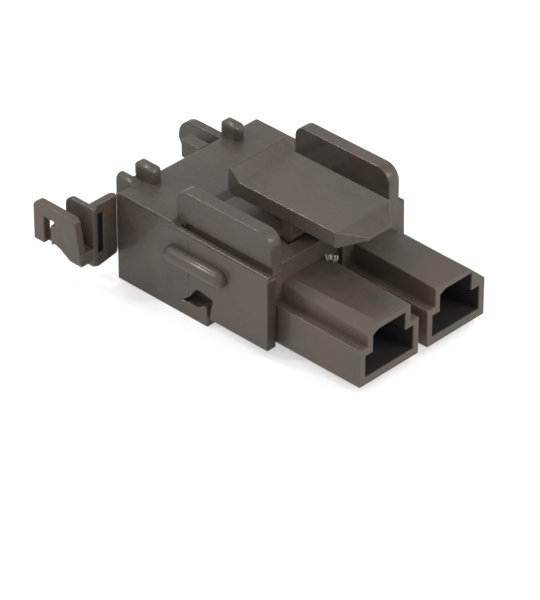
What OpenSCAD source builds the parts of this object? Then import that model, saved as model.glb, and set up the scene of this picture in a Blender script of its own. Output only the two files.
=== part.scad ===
// Two-circuit wire-side power connector housing, 7.5 mm pitch class.
// Moulded housing with two keyed noses, a rocker latch, a swing-out wire
// retainer, and two stamped female crimp contacts seated in the cavities.
// Millimetres. +Z up, +X toward the mating end, origin in the middle of the
// body footprint on the plane the part rests on.

/* [Body] */
// Body length, rear face to front face
body_len = 16.3; // [15.5:0.1:18]
// Body width across both circuits
body_w = 15.3; // [14.8:0.1:17]
// Height of the rear deck above the front underside
deck_h = 7.25; // [6.9:0.05:8]
// Height of the floor between the latch guards
floor_h = 6.95; // [6.6:0.05:7.2]
// Drop of the rear underside below the front underside
foot_drop = 0.8; // [0.3:0.1:1.2]
// Length of the lower rear foot
foot_len = 10; // [8:0.1:12]

/* [Circuits] */
// Centre distance of the two circuits
pitch = 7.47; // [7:0.01:8]
// Left side of the first wire cavity
cav_y = 1.9; // [1.7:0.05:2.1]
// Width of each wire cavity
cav_w = 5.3; // [4.8:0.1:5.4]
// Height of each wire cavity at the rear
entry_h = 4.4; // [4.2:0.1:4.8]
// Where the wire cavity narrows to the contact channel
entry_len = 12; // [11:0.5:13]

/* [Noses] */
// Length of the two noses in front of the body
nose_len = 8.45; // [7:0.05:10]
// Height of the nose ledges at the root
ledge_h = 3.6; // [3.4:0.05:3.8]
// Total nose height at the root
nose_h = 5.35; // [5.2:0.05:5.8]

/* [Fins] */
// Height of the two snap fins above the rear deck
fin_h = 1.45; // [1:0.05:1.8]
// Thickness of the snap fins
fin_t = 1; // [0.8:0.05:1.1]

/* [Guards] */
// Top of the near latch guard
guard_h = 9.9; // [9:0.05:11]
// Guard wall thickness
guard_t = 1.2; // [0.9:0.1:1.5]

/* [Latch] */
// Top of the latch plate
latch_top = 9.85; // [9.4:0.05:10.4]
// Latch plate thickness
latch_t = 1.4; // [1.1:0.1:1.6]
// Latch plate width
latch_w = 6.25; // [5:0.05:8]
// Pivot position along the body
pivot_x = 13.8; // [12.5:0.1:14.5]
// Pivot height
pivot_z = 7.1; // [7.05:0.05:7.4]
// Clearance around the pivot bead
pivot_gap = 0.13; // [0.08:0.01:0.2]

/* [Retainer] */
// Reach of the wire retainer sideways from the body
ret_reach = 4.5; // [4:0.1:5]
// Thickness of the retainer's outer plate
ret_plate = 0.7; // [0.5:0.1:0.9]
// Gap between the retainer knuckle and the body
ret_gap = 0.1; // [0.08:0.01:0.2]

/* [Contacts] */
// Sheet thickness of the stamped contacts
sheet = 0.35; // [0.25:0.05:0.4]
// Rear end of the contacts inside the housing
contact_x = 5.2; // [5:0.1:5.6]
// Width of the contact box
box_w = 2.8; // [2.4:0.1:3.2]
// Height of the contact box
box_h = 2.4; // [2:0.1:2.6]

/* [Hidden] */
$fn = 48;
off_x = -body_len / 2;
off_y = -body_w / 2;
off_z = foot_drop;
nose_x = body_len + nose_len;
c_shell = [0.22, 0.19, 0.19];
c_latch = [0.26, 0.22, 0.22];
c_ret = [0.24, 0.21, 0.21];
c_metal = [0.78, 0.74, 0.66];

module xz(y0, y1) {
    translate([0, y1, 0]) rotate([90, 0, 0]) linear_extrude(y1 - y0) children();
}

module yz(x0, x1) {
    translate([x0, 0, 0]) rotate([90, 0, 90]) linear_extrude(x1 - x0) children();
}

module xy(z0, z1) {
    translate([0, 0, z0]) linear_extrude(z1 - z0) children();
}

module place() {
    translate([off_x, off_y, off_z]) children();
}

// rounded side outline of a guard or plate: box x0..x1, z0..z1 with a front
// radius rf and a rear radius rr on the upper corners
module lobe(x0, x1, z0, z1, rf, rr) {
    polygon([[x0, z0], [x1, z0], [x1, z1 - rf], [x1 - rf, z1 - rf], [x1 - rf, z1],
             [x0 + rr, z1], [x0 + rr, z1 - rr], [x0, z1 - rr]]);
    translate([x1 - rf, z1 - rf]) circle(rf);
    translate([x0 + rr, z1 - rr]) circle(rr);
}

// upright snap fin on the rear top edge, rounded like a pebble above the deck
module fin(x0, x1, y, over) {
    intersection() {
        xz(y - 0.1, y + fin_t + 0.1) union() {
            lobe(x0, x1, deck_h + 0.45, deck_h + fin_h, 0.85, 0.8);
            polygon([[x0, deck_h + 0.46], [x0 + over, deck_h - 0.02], [x0 + over, deck_h - 0.3],
                     [x1, deck_h - 0.3], [x1, deck_h + 0.46]]);
        }
        yz(x0 - 0.5, x1 + 0.5) lobe(y, y + fin_t, deck_h - 1, deck_h + fin_h, fin_t * 0.47, fin_t * 0.47);
        xy(deck_h - 1, deck_h + fin_h + 1) union() {
            translate([x0 + 0.42, y]) square([x1 - x0 - 0.84, fin_t]);
            translate([x0, y + 0.42]) square([x1 - x0, fin_t - 0.84]);
            for (cx = [x0 + 0.42, x1 - 0.42], cy = [y + 0.42, y + fin_t - 0.42])
                translate([cx, cy]) circle(0.42);
        }
    }
}

module nose_cavity(dy) {
    yz(entry_len - 0.1, nose_x + 1) polygon([
        [cav_y + dy, 0.8], [cav_y + cav_w + dy, 0.8], [cav_y + cav_w + dy, 2.95],
        [6.27 + dy, 2.95], [6.27 + dy, 4.57], [3.31 + dy, 4.57], [2.71 + dy, 4.27],
        [2.71 + dy, 2.75], [cav_y + dy, 2.75]]);
}

module near_nose() {
    xz(1.26, 7.80) polygon([[15.5, 0.1], [nose_x, 0.1], [nose_x, ledge_h - 0.16],
                            [body_len, ledge_h], [15.5, ledge_h + 0.015]]);
    difference() {
        xz(2.15, 6.86) polygon([[15.5, 3], [nose_x, 3], [nose_x, nose_h - 0.28],
                                [body_len, nose_h], [15.5, nose_h + 0.025]]);
        translate([nose_x, 3.45, 5.05]) rotate([24.96, 3.985, 0])
            translate([-20, -20, 0]) cube([40, 40, 10]);
    }
}

module far_nose() {
    xz(8.76, body_w) polygon([[15.5, 0.1], [nose_x, 0.1], [nose_x, ledge_h - 0.17],
                              [body_len, ledge_h - 0.01], [15.5, ledge_h]]);
    intersection() {
        xz(9.64, body_w) polygon([[15.5, 3], [nose_x, 3], [nose_x, nose_h - 0.28],
                                  [body_len, nose_h], [15.5, nose_h + 0.025]]);
        yz(15, nose_x + 1) polygon([[9.6, 2.9], [body_w + 0.1, 2.9], [body_w + 0.1, 3.337],
                                    [12.96, 5.6], [9.6, 5.6]]);
    }
}

// outer block, with the step in the underside and the rounded rear top edge
module body_block() {
    xz(0, body_w) union() {
        polygon([[0, -foot_drop], [foot_len, -foot_drop], [foot_len, 0], [body_len, 0],
                 [body_len, floor_h - 0.2], [6.7, floor_h], [5.95, deck_h],
                 [0.45, deck_h], [0.45, deck_h - 0.45], [0, deck_h - 0.45]]);
        translate([0.45, deck_h - 0.45]) circle(0.45);
    }
    // floor between the guards
    xz(0.7, 14.7) polygon([[4, 5], [body_len, 5], [body_len, floor_h], [4, floor_h]]);
    // resting pad under the front half, set in from both sides
    xz(1.2, body_w - 1.2) polygon([[9, -foot_drop], [14.5, -foot_drop], [14.5, 0.3], [9, 0.3]]);
}

module guards() {
    xz(0.7, 0.7 + guard_t) lobe(5.9, 15.95, 6.4, guard_h, 1.2, 1.05);
    xz(13.5, 13.5 + guard_t) lobe(6.2, 16.25, 6.4, guard_h + 0.15, 1.3, 1.0);
}

module side_grooves() {
    // thin ridges along both sides, cut off from the guards by a narrow groove
    translate([6.6, 0.42, floor_h - 0.6]) cube([12, 0.28, 2]);
    // undercut at the foot of the near guard
    translate([6.9, 0.6, floor_h - 0.6]) cube([12, 0.35, 0.78]);
    translate([6.9, 14.7, floor_h - 0.35]) cube([8.6, 0.35, 2]);
}

module hook_window() {
    // slanted snap window and the channel that opens it to the underside
    xz(-1, 1.15) polygon([[7.15, 0.50], [7.97, 1.19], [8.29, 1.72], [8.6, 2.08], [9.05, 2.15],
                          [9.8, 2.03], [10.36, 1.91], [10.36, 1.54], [10.2, 1.03], [10.12, 0.41],
                          [10.1, -1], [9.86, -1], [9.8, 0.31], [9.72, 0.93], [9.4, 0.95],
                          [8.84, 0.56], [7.97, 0.50]]);
    // fine groove just under the near top edges
    translate([0.15, -0.1, deck_h - 0.32]) cube([5.9, 0.18, 0.1]);
    translate([5.6, -0.1, floor_h - 0.34]) cube([10.5, 0.16, 0.09]);
    // witness groove running down the side
    xz(-0.1, 0.07) polygon([[7.79, 0.9], [7.86, 0.9], [7.86, 7.3], [7.79, 7.3]]);
}

module side_rail() {
    translate([6.3, -0.15, 4.45]) rotate([0, 90, 0]) rotate_extrude()
        polygon([[0, -0.75], [0.29, -0.69], [0.53, -0.53], [0.69, -0.29], [0.75, 0],
                 [0.75, 5.0], [0.735, 5.15], [0.69, 5.29], [0.62, 5.42], [0.52, 5.53],
                 [0.4, 5.62], [0.26, 5.67], [0.12, 5.695], [0, 5.7]]);
}

module rear_ribs() {
    intersection() {
        yz(-1.45, 0.8) lobe(1.3, 2.3, 5.6, deck_h + 0.42, 0.48, 0.48);
        xz(1, 2.6) polygon([[-1.5, 5.5], [0.78, 5.5], [0.78, deck_h - 0.1], [0.1, deck_h + 0.38],
                            [-0.15, deck_h + 0.5], [-1.5, deck_h + 0.5]]);
    }
    // seat under the first fin
    translate([-0.72, 2.2, 5.9]) cube([1, 1.3, deck_h - 0.04 - 5.9]);
    translate([-1.9, 8.92, 5.6]) cube([2, 1.12, deck_h - 0.05 - 5.6]);
    // hinge ear for the wire retainer
    translate([-0.5, 0.36, 1.5]) cube([0.8, 0.6, 5.3]);
    // fixed guide tongue behind the second circuit
    xz(11.3, 12.05) union() {
        polygon([[1, 5.4], [1, deck_h - 0.12], [-3, deck_h - 0.12], [-3, deck_h - 1.72],
                 [-4.6, deck_h - 1.72], [-4.6, 5.2], [-4.3, 4.88], [-1.7, 4.88], [-1.2, 5.4]]);
        translate([-3, deck_h - 1.72]) circle(1.6);
    }
    // sloping ledge along the near side of the tongue
    xz(10.35, 11.4) polygon([[-3.15, 4.3], [-2.2, 4.3], [-1.9, 5.25], [0.5, 5.25], [0.5, 6.2],
                             [-1.64, 5.77], [-3.15, 5.42]]);
}

module housing() {
    color(c_shell) place() difference() {
        union() {
            // front face set back around the near nose
            difference() {
                body_block();
                translate([15.85, 0.95, -1]) cube([1, 7.35, 9]);
            }
            guards();
            near_nose();
            far_nose();
            side_rail();
            rear_ribs();
            fin(-0.82, 1.52, 2.57, 0.6);
            fin(-0.3, 1.7, 11.6, 0.1);
        }
        side_grooves();
        hook_window();
        // wire entries
        for (dy = [0, pitch]) {
            translate([-2, cav_y + dy, 0.8]) cube([entry_len + 2, cav_w, entry_h]);
            nose_cavity(dy);
        }
        // trough for the latch bead
        translate([pivot_x, 4.2, pivot_z]) rotate([-90, 0, 0])
            cylinder(r = 0.5 + pivot_gap, h = latch_w + 1);
    }
}

module latch_lever() {
    ly0 = 7.775 - latch_w / 2;
    ly1 = 7.775 + latch_w / 2;
    under = latch_top - latch_t;
    color(c_latch) place() {
        union() {
            intersection() {
                xz(ly0, ly1) union() {
                    polygon([[7.57, latch_top + 0.88], [7.8, latch_top + 0.85], [8.75, latch_top],
                             [18.95, latch_top], [20.55, latch_top - 0.6],
                             [20.55, under + 0.5], [19.05, under], [8.75, under],
                             [8.31, under - 0.13], [7.9, under - 0.05], [7.58, under + 0.2],
                             [7.5, under + 0.5]]);
                }
                xy(0, 20) polygon([[7, ly0], [18.95, ly0], [20.55, ly0 + 1.85],
                                   [20.55, ly1 - 1.75], [18.65, ly1], [7, ly1]]);
            }
            // flexure web with a round bead at its foot
            xz(4.75, 10.8) polygon([[13.2, under + 0.1], [13.35, pivot_z], [14.25, pivot_z],
                                    [14.3, under + 0.1]]);
            translate([pivot_x, 4.75, pivot_z]) rotate([-90, 0, 0]) cylinder(r = 0.5, h = 6.05);
        }
    }
}

module left_retainer() {
    kx = -0.45;
    yo = -ret_reach + 0.1;
    color(c_ret) place() difference() {
        union() {
            // strap reaching out from the corner of the body, knuckle at its root
            translate([kx, -0.1, 1.55]) cylinder(r = 0.33, h = 5.27);
            yz(kx - 0.35, kx + 0.35) polygon([[-0.1, 1.55], [-0.1, 6.82], [-2.6, 6.82], [-2.6, 1.4],
                                              [-2.0, 1.2]]);
            // inner plate
            xz(-2.95, -2.48) lobe(-2.7, 0.4, 1.9, 7.08, 0.12, 0.75);
            // outer plate with its slanted front edge
            xz(yo, yo + ret_plate) union() {
                polygon([[-4.85, 2.83], [-2.95, 2.87], [-2.8, 3.23], [-2.4, 3.23], [-1.5, 3.0],
                         [-0.86, 2.72], [0.42, 2.6], [-0.2, 6.1], [-0.5, 6.46], [-4.2, 6.46],
                         [-4.2, 5.81], [-4.85, 5.81]]);
                translate([-4.2, 5.81]) circle(0.65);
            }
            // sill tying the plates together along the bottom
            xz(yo + 0.1, -2.6) polygon([[-1.9, 2.9], [-0.9, 2.35], [0.38, 2.35], [0.38, 3.45], [-1.9, 3.45]]);
        }
        // snap slot in the outer plate: a groove open at the bottom, through at its top
        xz(yo - 1, yo + 0.5) polygon([[-3.7, 2], [-2.92, 2], [-2.92, 4.85], [-2.45, 4.85],
                                      [-2.45, 5.3], [-3.7, 5.3]]);
        xz(yo, yo + ret_plate + 0.1) polygon([[-3.68, 4.0], [-3.1, 4.0], [-3.1, 4.87], [-2.47, 4.87],
                                              [-2.47, 5.28], [-3.68, 5.28]]);
        // blind pocket in the front of the strap beside the inner plate
        translate([kx - 0.12, -2.3, 2.4]) cube([1, 0.86, 3.6]);
        // fine score across the strap
        translate([kx + 0.3, -1.5, 4.62]) cube([0.2, 1.2, 0.09]);
    }
}

module contact(dy) {
    cy = 4.55 + dy;
    color(c_metal) place() translate([contact_x, cy, 0.8]) {
        // insulation wings
        yz(0, 2.0) polygon([[-1.3, 0], [1.3, 0], [2.0, 0.7], [2.25, 3.5], [1.95, 3.55], [1.67, 0.85],
                            [1.15, 0.35], [-1.15, 0.35], [-1.67, 0.85], [-1.95, 3.55], [-2.25, 3.5],
                            [-2.0, 0.7]]);
        // floor strip joining every section
        translate([1.9, -0.9, 0]) cube([13.0 - 1.9, 1.8, sheet]);
        // wire barrel with three shallow serrations
        difference() {
            yz(2.7, 6.2) polygon([[-1.0, 0], [1.0, 0], [1.5, 0.6], [1.8, 2.9], [1.5, 2.95], [1.18, 0.75],
                                  [0.85, 0.35], [-0.85, 0.35], [-1.18, 0.75], [-1.5, 2.95],
                                  [-1.8, 2.9], [-1.5, 0.6]]);
            for (sx = [3.5, 4.35, 5.2])
                translate([sx, -0.8, sheet - 0.1]) cube([0.35, 1.6, 0.4]);
        }
        // side rails of the transition
        for (s = [-1, 1])
            xz(s > 0 ? box_w / 2 - sheet - 0.25 : -box_w / 2 + 0.25, s > 0 ? box_w / 2 - 0.25 : -box_w / 2 + sheet + 0.25)
                polygon([[6.0, 0], [7.6, 0], [7.6, 2.1], [6.0, 0.9]]);
        // contact box
        difference() {
            translate([7.4, -box_w / 2, 0]) cube([6.6, box_w, box_h]);
            translate([7.3, -box_w / 2 + sheet, sheet]) cube([7, box_w - 2 * sheet, box_h - 2 * sheet]);
            translate([9.6, -0.5, box_h - sheet - 0.1]) cube([1.6, 1.0, 1]);
        }
        // folded spring beam rising from the floor
        xz(-0.8, 0.8) polygon([[8.0, 0.3], [8.6, 0.3], [10.8, 0.95], [13.2, 0.45], [13.3, 0.62],
                               [10.8, 1.2], [8.5, 0.55], [8.0, 0.5]]);
        // two-lobed tip
        for (s = [-1, 1])
            translate([14.0 - 0.3, s * 0.62, 0]) cylinder(r = 0.55, h = sheet);
    }
}

module contact_left() { contact(0); }
module contact_right() { contact(pitch); }

housing();
latch_lever();
left_retainer();
contact_left();
contact_right();
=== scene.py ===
import math
import random
import bpy
import bmesh
from mathutils import Matrix, Vector


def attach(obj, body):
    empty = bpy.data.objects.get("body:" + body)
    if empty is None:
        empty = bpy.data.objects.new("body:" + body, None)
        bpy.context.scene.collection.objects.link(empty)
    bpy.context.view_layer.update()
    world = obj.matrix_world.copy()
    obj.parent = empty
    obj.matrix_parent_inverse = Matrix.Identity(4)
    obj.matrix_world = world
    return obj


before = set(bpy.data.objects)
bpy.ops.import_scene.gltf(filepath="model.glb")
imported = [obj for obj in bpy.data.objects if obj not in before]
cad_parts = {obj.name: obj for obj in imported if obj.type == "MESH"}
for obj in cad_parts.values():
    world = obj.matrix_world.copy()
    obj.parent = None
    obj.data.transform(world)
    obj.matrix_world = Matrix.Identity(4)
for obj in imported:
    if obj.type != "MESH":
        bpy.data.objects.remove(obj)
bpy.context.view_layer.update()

MM = 0.001
OFF = Vector((-8.15, -7.65, 0.8))      # body corner frame to row frame, mm
random.seed(7)


def P(x, y, z):
    """Point given from the body's lower rear corner, in mm, as metres in the row frame."""
    return (Vector((x, y, z)) + OFF) * MM


# ---------------------------------------------------------------- camera
az, el = math.radians(44.13), math.radians(34.205)
right = Vector((math.cos(az), math.sin(az), 0))
back = Vector((math.sin(az) * math.cos(el), -math.cos(az) * math.cos(el), math.sin(el)))
up = back.cross(right)
target = P(12.0, 7.5, 3.0)
cam_pos = target + (right * -1.9398 + up * -3.2270 + back * 318.0) * MM
cam_data = bpy.data.cameras.new("camera")
cam = bpy.data.objects.new("camera", cam_data)
bpy.context.scene.collection.objects.link(cam)
rot = Matrix((right, up, back)).transposed()
cam.matrix_world = Matrix.Translation(cam_pos) @ rot.to_4x4()
cam_data.sensor_width = 36.0
cam_data.lens = 246.06
cam_data.clip_start = 0.01
cam_data.clip_end = 20
bpy.context.scene.camera = cam


# ---------------------------------------------------------------- materials
def tree(name):
    m = bpy.data.materials.new(name)
    m.use_nodes = True
    nt = m.node_tree
    nt.nodes.clear()
    out = nt.nodes.new("ShaderNodeOutputMaterial")
    b = nt.nodes.new("ShaderNodeBsdfPrincipled")
    nt.links.new(b.outputs[0], out.inputs[0])
    co = nt.nodes.new("ShaderNodeTexCoord")
    return m, nt, b, co.outputs["Object"]


def noise(nt, vec, scale, detail=3.0, rough=0.5, dist=0.0, stretch=None):
    if stretch is not None:
        mp = nt.nodes.new("ShaderNodeMapping")
        mp.inputs["Scale"].default_value = stretch
        nt.links.new(vec, mp.inputs["Vector"])
        vec = mp.outputs[0]
    n = nt.nodes.new("ShaderNodeTexNoise")
    n.inputs["Scale"].default_value = scale
    n.inputs["Detail"].default_value = detail
    n.inputs["Roughness"].default_value = rough
    n.inputs["Distortion"].default_value = dist
    nt.links.new(vec, n.inputs["Vector"])
    return n.outputs["Fac"]


def ramp(nt, fac, stops):
    r = nt.nodes.new("ShaderNodeValToRGB")
    els = r.color_ramp.elements
    while len(els) < len(stops):
        els.new(0.5)
    for e, (p, c) in zip(els, stops):
        e.position = p
        e.color = (*c, 1.0) if len(c) == 3 else c
    nt.links.new(fac, r.inputs[0])
    return r.outputs[0]


def rng(nt, fac, lo, hi, a=0.0, b=1.0):
    m = nt.nodes.new("ShaderNodeMapRange")
    m.inputs["From Min"].default_value = a
    m.inputs["From Max"].default_value = b
    m.inputs["To Min"].default_value = lo
    m.inputs["To Max"].default_value = hi
    nt.links.new(fac, m.inputs["Value"])
    return m.outputs[0]


def math_node(nt, op, a, b):
    m = nt.nodes.new("ShaderNodeMath")
    m.operation = op
    for i, v in enumerate((a, b)):
        if isinstance(v, (int, float)):
            m.inputs[i].default_value = v
        else:
            nt.links.new(v, m.inputs[i])
    return m.outputs[0]


def bump(nt, b, height, strength, distance, chain=None):
    n = nt.nodes.new("ShaderNodeBump")
    n.inputs["Strength"].default_value = strength
    n.inputs["Distance"].default_value = distance
    nt.links.new(height, n.inputs["Height"])
    if chain is not None:
        nt.links.new(chain, n.inputs["Normal"])
    nt.links.new(n.outputs[0], b.inputs["Normal"])
    return n.outputs[0]


def box_mask(nt, co, lo, hi, soft=0.03):
    """1 inside a box given in mm from the body's lower rear corner, 0 outside, with soft sides."""
    sep = nt.nodes.new("ShaderNodeSeparateXYZ")
    nt.links.new(co, sep.inputs[0])
    out = None
    for k in range(3):
        a = (lo[k] + OFF[k]) * MM
        c = (hi[k] + OFF[k]) * MM
        up_ = rng(nt, sep.outputs[k], 0.0, 1.0, a - soft * MM, a + soft * MM)
        dn = rng(nt, sep.outputs[k], 1.0, 0.0, c - soft * MM, c + soft * MM)
        m = math_node(nt, "MULTIPLY", up_, dn)
        out = m if out is None else math_node(nt, "MULTIPLY", out, m)
    return out


def mix_col(nt, fac, a, b):
    m = nt.nodes.new("ShaderNodeMix")
    m.data_type = "RGBA"
    for sock, v in ((m.inputs[0], fac), (m.inputs[6], a), (m.inputs[7], b)):
        if isinstance(v, (int, float)):
            sock.default_value = v
        elif isinstance(v, tuple):
            sock.default_value = (*v, 1.0)
        else:
            nt.links.new(v, sock)
    return m.outputs[2]


def scaled(nt, col, k):
    v = nt.nodes.new("ShaderNodeVectorMath")
    v.operation = "MULTIPLY"
    nt.links.new(col, v.inputs[0])
    v.inputs[1].default_value = k
    return v.outputs[0]


def nylon(name, dark, light, cavity_and_strip_shade=False, pocket_shade=False):
    """Dark glass-filled nylon: flow mottling, fine fibre speckle, satin skin, pale edges that are partly rubbed wear
    and partly a painted highlight; painted shade inside the cavities, on a strip of the front face and in the hollow of
    the retainer strap.
    """
    m, nt, b, co = tree(name)
    flow = noise(nt, co, 210, 5, 0.62, 0.9, stretch=(0.5, 1.0, 1.0))
    fibre = noise(nt, co, 4200, 2, 0.6, 0.2, stretch=(0.45, 1.0, 1.0))
    grain = noise(nt, co, 7000, 3, 0.6)
    warm = noise(nt, co, 120, 3, 0.5, 0.4)
    mix = math_node(nt, "ADD", math_node(nt, "MULTIPLY", flow, 0.62), math_node(nt, "MULTIPLY", fibre, 0.38))
    base = ramp(nt, mix, [(0.34, dark), (0.50, tuple((a + c) / 2 for a, c in zip(dark, light))), (0.66, light)])
    tint = tuple(c * k for c, k in zip(light, (1.10, 0.92, 0.84)))
    base = mix_col(nt, rng(nt, warm, 0.0, 0.75, 0.48, 0.66), base, tint)
    # lighter outer edges, partly rubbed wear and partly a painted highlight: how much of the near inside of the wall a
    # ray finds
    ao = nt.nodes.new("ShaderNodeAmbientOcclusion")
    ao.inside = True
    ao.samples = 8
    ao.inputs["Distance"].default_value = 0.16 * MM
    edge = rng(nt, ao.outputs["AO"], 1.0, 0.0, 0.30, 0.80)
    wear_and_highlight = noise(nt, co, 1500, 3, 0.6)
    edge = math_node(nt, "MULTIPLY", edge, rng(nt, wear_and_highlight, 0.35, 1.0, 0.35, 0.62))
    base = mix_col(nt, math_node(nt, "MULTIPLY", edge, 0.70), base, (0.172, 0.152, 0.134))
    rough = rng(nt, math_node(nt, "ADD", math_node(nt, "MULTIPLY", flow, 0.55), math_node(nt, "MULTIPLY", grain, 0.45)),
                0.42, 0.58, 0.32, 0.68)
    if cavity_and_strip_shade:
        # painted shade: the insides of the nose cavities and socket bores are coloured near black, standing in for the
        # deep shade there
        cavity_shade = None
        for dy in (0.0, 7.47):
            for lo, hi in (((11.0, 1.87 + dy, 0.77), (24.60, 7.23 + dy, 2.98)), ((11.0, 2.68 + dy, 2.5), (24.60, 6.30 + dy, 4.60)),
                           ((0.25, 1.87 + dy, 0.77), (12.2, 7.23 + dy, 5.23))):
                k = box_mask(nt, co, lo, hi)
                cavity_shade = k if cavity_shade is None else math_node(nt, "MAXIMUM", cavity_shade, k)
        base = mix_col(nt, cavity_shade, base, (0.0075, 0.0055, 0.0065))
        rough = math_node(nt, "ADD", rough, math_node(nt, "MULTIPLY", cavity_shade, 0.35))
        # painted shade: a narrow strip of the front face beside the near nose is darkened, standing in for the shade
        # that falls there
        front_strip_shade = box_mask(nt, co, (16.22, -0.1, 0.0), (16.4, 1.2, 6.2), 0.03)
        base = mix_col(nt, math_node(nt, "MULTIPLY", front_strip_shade, 0.6), base, (0.010, 0.008, 0.007))
    # painted shade: the hollow in the retainer strap is coloured near black, standing in for the shade inside it
    if pocket_shade:
        pocket_shade_mask = box_mask(nt, co, (-0.62, -2.33, 2.38), (-0.13, -1.42, 6.02), 0.02)
        base = mix_col(nt, pocket_shade_mask, base, (0.009, 0.007, 0.007))
        rough = math_node(nt, "ADD", rough, math_node(nt, "MULTIPLY", pocket_shade_mask, 0.3))
    base = scaled(nt, base, ALB)
    nt.links.new(base, b.inputs["Base Color"])
    nt.links.new(rough, b.inputs["Roughness"])
    b.inputs["Specular IOR Level"].default_value = SPEC
    b.inputs["IOR"].default_value = 1.5
    b.inputs["Coat Weight"].default_value = COAT
    b.inputs["Coat Roughness"].default_value = 0.15
    b.inputs["Coat IOR"].default_value = 1.5
    n1 = bump(nt, b, grain, 0.30, 0.00003)
    waves = noise(nt, co, 420, 2, 0.5, 0.3)
    bump(nt, b, waves, 0.30, 0.00010, chain=n1)
    return m


def tin(name):
    """Tin-plated spring brass: faint rolling lines, soft stains."""
    m, nt, b, co = tree(name)
    b.inputs["Metallic"].default_value = 1.0
    lines = noise(nt, co, 3200, 3, 0.6, 0.0, stretch=(0.08, 1.0, 1.0))
    stain = noise(nt, co, 520, 4, 0.6, 0.8)
    nt.links.new(ramp(nt, stain, [(0.30, (0.50, 0.47, 0.40)), (0.5, (0.70, 0.68, 0.62)), (0.7, (0.80, 0.79, 0.75))]),
                 b.inputs["Base Color"])
    nt.links.new(rng(nt, lines, 0.20, 0.38, 0.3, 0.7), b.inputs["Roughness"])
    bump(nt, b, lines, 0.2, 0.00002)
    return m


SPEC, COAT, ALB = 0.30, 0.22, (1.26, 1.29, 1.21)
shell_m = nylon("nylon_shell", (0.027, 0.0215, 0.0185), (0.044, 0.0355, 0.030), cavity_and_strip_shade=True)
latch_m = nylon("nylon_latch", (0.028, 0.022, 0.019), (0.045, 0.036, 0.031))
ret_m = nylon("nylon_retainer", (0.027, 0.0215, 0.0185), (0.044, 0.0355, 0.030), pocket_shade=True)
tin_m = tin("tinned_brass")

mats = {"housing": shell_m, "latch_lever": latch_m, "left_retainer": ret_m,
        "contact_left": tin_m, "contact_right": tin_m}
widths = {"housing": 0.08, "latch_lever": 0.10, "left_retainer": 0.07, "contact_left": 0.03, "contact_right": 0.03}


def edge_weights(width, keep_sharp=()):
    """Node group that picks the outer corners whose two faces both leave room for a rounded edge."""
    ng = bpy.data.node_groups.new("edge_weights_%d" % round(width * 1e6), "GeometryNodeTree")
    ng.interface.new_socket("Geometry", in_out="INPUT", socket_type="NodeSocketGeometry")
    ng.interface.new_socket("Geometry", in_out="OUTPUT", socket_type="NodeSocketGeometry")
    N, L = ng.nodes, ng.links
    gi, go = N.new("NodeGroupInput"), N.new("NodeGroupOutput")

    def m(op, a, b=None):
        n = N.new("ShaderNodeMath")
        n.operation = op
        for i, v in enumerate((a, b)):
            if v is None:
                continue
            if isinstance(v, (int, float)):
                n.inputs[i].default_value = v
            else:
                L.new(v, n.inputs[i])
        return n.outputs[0]

    def on(domain, v):
        n = N.new("GeometryNodeFieldOnDomain")
        n.domain = domain
        n.data_type = "FLOAT"
        L.new(v, n.inputs[0])
        return n.outputs[0]

    ev = N.new("GeometryNodeInputMeshEdgeVertices")
    dist = N.new("ShaderNodeVectorMath")
    dist.operation = "DISTANCE"
    L.new(ev.outputs["Position 1"], dist.inputs[0])
    L.new(ev.outputs["Position 2"], dist.inputs[1])
    ang = N.new("GeometryNodeInputMeshEdgeAngle").outputs
    sharp = m("GREATER_THAN", ang["Unsigned Angle"], 0.30)
    outer = m("GREATER_THAN", ang["Signed Angle"], 0.30)
    length = on("EDGE", m("MULTIPLY", dist.outputs["Value"], sharp))
    count = N.new("GeometryNodeInputMeshFaceNeighbors").outputs["Vertex Count"]
    fa = N.new("GeometryNodeInputMeshFaceArea").outputs[0]
    # half the sharp outline of each face over its area: one over the mean width between sharp sides
    inv = m("DIVIDE", m("MULTIPLY", m("MULTIPLY", length, count), 0.5), m("MAXIMUM", fa, 1e-14))
    tight = on("FACE", m("GREATER_THAN", inv, 1.0 / (2.2 * width)))
    w = m("MULTIPLY", m("LESS_THAN", tight, 0.01), outer)
    if keep_sharp:
        sep = N.new("ShaderNodeSeparateXYZ")
        L.new(N.new("GeometryNodeInputPosition").outputs[0], sep.inputs[0])
        for x0, x1, y0, y1 in keep_sharp:
            inside = None
            for k, (lo, hi) in enumerate(((x0, x1), (y0, y1))):
                for op, v in (("GREATER_THAN", lo), ("LESS_THAN", hi)):
                    t = m(op, sep.outputs[k], (v + OFF[k]) * MM)
                    inside = t if inside is None else m("MULTIPLY", inside, t)
            w = m("MULTIPLY", w, m("SUBTRACT", 1.0, inside))
    st = N.new("GeometryNodeStoreNamedAttribute")
    st.domain = "EDGE"
    st.data_type = "FLOAT"
    st.inputs["Name"].default_value = "bevel_weight_edge"
    L.new(gi.outputs[0], st.inputs["Geometry"])
    L.new(w, st.inputs["Value"])
    L.new(st.outputs[0], go.inputs[0])
    return ng


# upright corners that stay crisp, as x and y spans in mm from the body's lower rear corner
CRISP = {"housing": [(-0.1, 0.1, -0.1, 0.1)], "latch_lever": [(18.4, 18.9, 10.7, 11.1), (20.4, 20.7, 8.9, 9.4)]}

for name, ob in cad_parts.items():
    me = ob.data
    if not ob.material_slots:
        me.materials.append(mats[name])
    for s in ob.material_slots:
        s.material = mats[name]
    w = ob.modifiers.new("weld", "WELD")
    w.merge_threshold = 2e-6
    d = ob.modifiers.new("flat", "DECIMATE")
    d.decimate_type = "DISSOLVE"
    d.angle_limit = math.radians(1.0)
    g = ob.modifiers.new("room", "NODES")
    g.node_group = edge_weights(widths[name] * MM, CRISP.get(name, ()))
    bv = ob.modifiers.new("edges", "BEVEL")
    bv.width = widths[name] * MM
    bv.segments = 3
    bv.limit_method = "WEIGHT"
    bv.use_clamp_overlap = False
    bv.harden_normals = True


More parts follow.
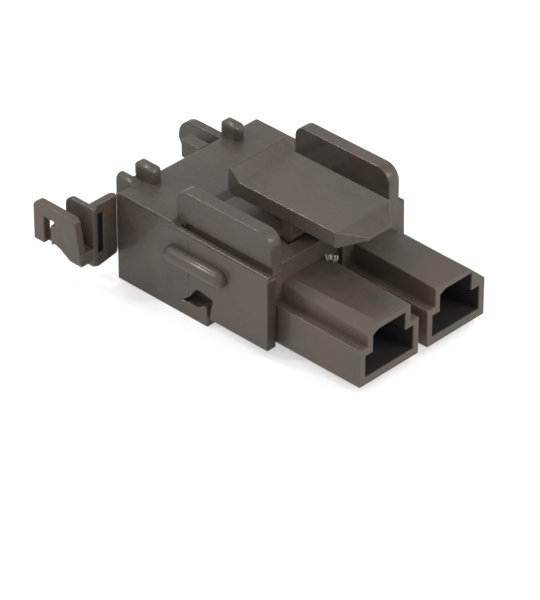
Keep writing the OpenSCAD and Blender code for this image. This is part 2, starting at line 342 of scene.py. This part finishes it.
# ---------------------------------------------------------------- flash at the root of the near nose
def flash():
    """A few curled slivers of moulding flash, joined along the parting line between the noses, coloured pale as a
    painted glint.
    """
    me = bpy.data.meshes.new("flash_slivers")
    bm = bmesh.new()
    rnd = random.Random(11)
    root = Vector((16.35, 6.85, 5.26))
    for i in range(10):
        a = root + Vector((rnd.uniform(-0.15, 0.45), rnd.uniform(-0.30, 0.12), 0.0))
        a.z = 5.24 - 0.045 * (a.x - 16.5)
        head = rnd.uniform(0, math.tau)
        lean = rnd.uniform(0.35, 1.1)
        n, ln, wd = 7, rnd.uniform(0.40, 0.80), rnd.uniform(0.16, 0.26)
        side = Vector((-math.sin(head), math.cos(head), 0))
        pos, prev = a.copy(), None
        for k in range(n + 1):
            t = k / n
            tilt = lean + 1.5 * t
            half = side * (wd * 0.5 * (1 - 0.75 * t) + 0.006)
            thick = Vector((0, 0, 0.05))
            ring = [bm.verts.new((q + OFF) * MM) for q in (pos - half, pos + half, pos + half + thick, pos - half + thick)]
            if prev is None:
                bm.faces.new(ring[::-1])
            else:
                for c in range(4):
                    bm.faces.new((prev[c], prev[(c + 1) % 4], ring[(c + 1) % 4], ring[c]))
            prev = ring
            step = Vector((math.cos(head) * math.cos(tilt), math.sin(head) * math.cos(tilt), abs(math.sin(tilt)) * 0.95))
            pos = pos + step * (ln / n)
        bm.faces.new(prev)
    bmesh.ops.recalc_face_normals(bm, faces=bm.faces)
    bm.to_mesh(me)
    bm.free()
    ob = bpy.data.objects.new("flash_slivers", me)
    bpy.context.scene.collection.objects.link(ob)
    m, nt, b, co = tree("flash_painted_glint")
    sp = noise(nt, co, 9000, 3, 0.6)
    # painted glint: the pale speckled colour of the slivers stands in for bright glints at the root of the near nose
    nt.links.new(ramp(nt, sp, [(0.38, (0.16, 0.14, 0.11)), (0.52, (0.46, 0.41, 0.33)), (0.64, (0.80, 0.74, 0.63))]), b.inputs["Base Color"])
    nt.links.new(rng(nt, sp, 0.20, 0.40, 0.3, 0.7), b.inputs["Roughness"])
    bump(nt, b, sp, 0.4, 0.00002)
    me.materials.append(m)
    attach(ob, "shell")


flash()


# ---------------------------------------------------------------- stage and light
def link(ob):
    bpy.context.scene.collection.objects.link(ob)
    return ob


def floor():
    me = bpy.data.meshes.new("floor")
    bm = bmesh.new()
    bmesh.ops.create_grid(bm, x_segments=1, y_segments=1, size=3.0)
    bm.to_mesh(me)
    bm.free()
    ob = link(bpy.data.objects.new("floor", me))
    m, nt, b, co = tree("paper")
    nt.links.new(ramp(nt, noise(nt, co, 6, 3), [(0.0, (0.49, 0.49, 0.49)), (1.0, (0.52, 0.52, 0.52))]), b.inputs["Base Color"])
    b.inputs["Roughness"].default_value = 0.9
    b.inputs["Emission Color"].default_value = (1.0, 1.0, 1.0, 1.0)
    b.inputs["Emission Strength"].default_value = 0.47
    me.materials.append(m)


def area(name, pos, aim, size, power, color=(1, 1, 1)):
    la = bpy.data.lights.new(name, "AREA")
    la.shape = "RECTANGLE"
    la.size, la.size_y = size
    la.energy = power
    la.color = color
    ob = link(bpy.data.objects.new(name, la))
    ob.location = pos
    ob.rotation_euler = (Vector(aim) - Vector(pos)).to_track_quat("-Z", "Y").to_euler()
    return ob


# strengths of every light, and of the room itself
W = {"world": 1.02, "key": 0.5, "low": 1.0, "edge": 0.9, "rear": 0.5, "front": 0.35, "top": 0.3}


def soft(name, d, dist, size, color):
    v = Vector(d).normalized() * dist
    return area(name, tuple(v), (0.002, 0, 0.003), (size, size), W[name], color)


soft("key", (0.50, 0.20, 0.82), 0.50, 0.05, (1.0, 0.90, 0.84))
soft("low", (0.80, 0.36, 0.46), 0.48, 0.16, (1.0, 0.95, 0.90))
soft("edge", (-0.576, -0.562, 0.594), 0.56, 0.045, (1.0, 0.98, 0.95))
soft("rear", (-0.576, -0.20, 0.82), 0.56, 0.05, (1.0, 0.98, 0.95))
soft("front", (0.585, -0.57, 0.60), 0.50, 0.022, (1.0, 0.95, 0.90))
soft("top", (-0.15, 0.15, 0.90), 0.60, 0.70, (1.0, 0.98, 0.94))
floor()
world = bpy.data.worlds.new("studio")
world.use_nodes = True
wb = world.node_tree.nodes["Background"]
wb.inputs[0].default_value = (1.0, 1.0, 1.0, 1.0)
wt = world.node_tree
gen = wt.nodes.new("ShaderNodeTexCoord")
dot = wt.nodes.new("ShaderNodeVectorMath")
dot.operation = "DOT_PRODUCT"
dot.inputs[1].default_value = Vector((-0.05, 0.62, 0.78)).normalized()
wt.links.new(gen.outputs["Generated"], dot.inputs[0])
patch = rng(wt, dot.outputs["Value"], W["world"], W["world"] * 0.55, 0.90, 0.985)
wt.links.new(patch, wb.inputs[1])
bpy.context.scene.world = world
vs = bpy.context.scene.view_settings
vs.view_transform = "Standard"
vs.look = "None"
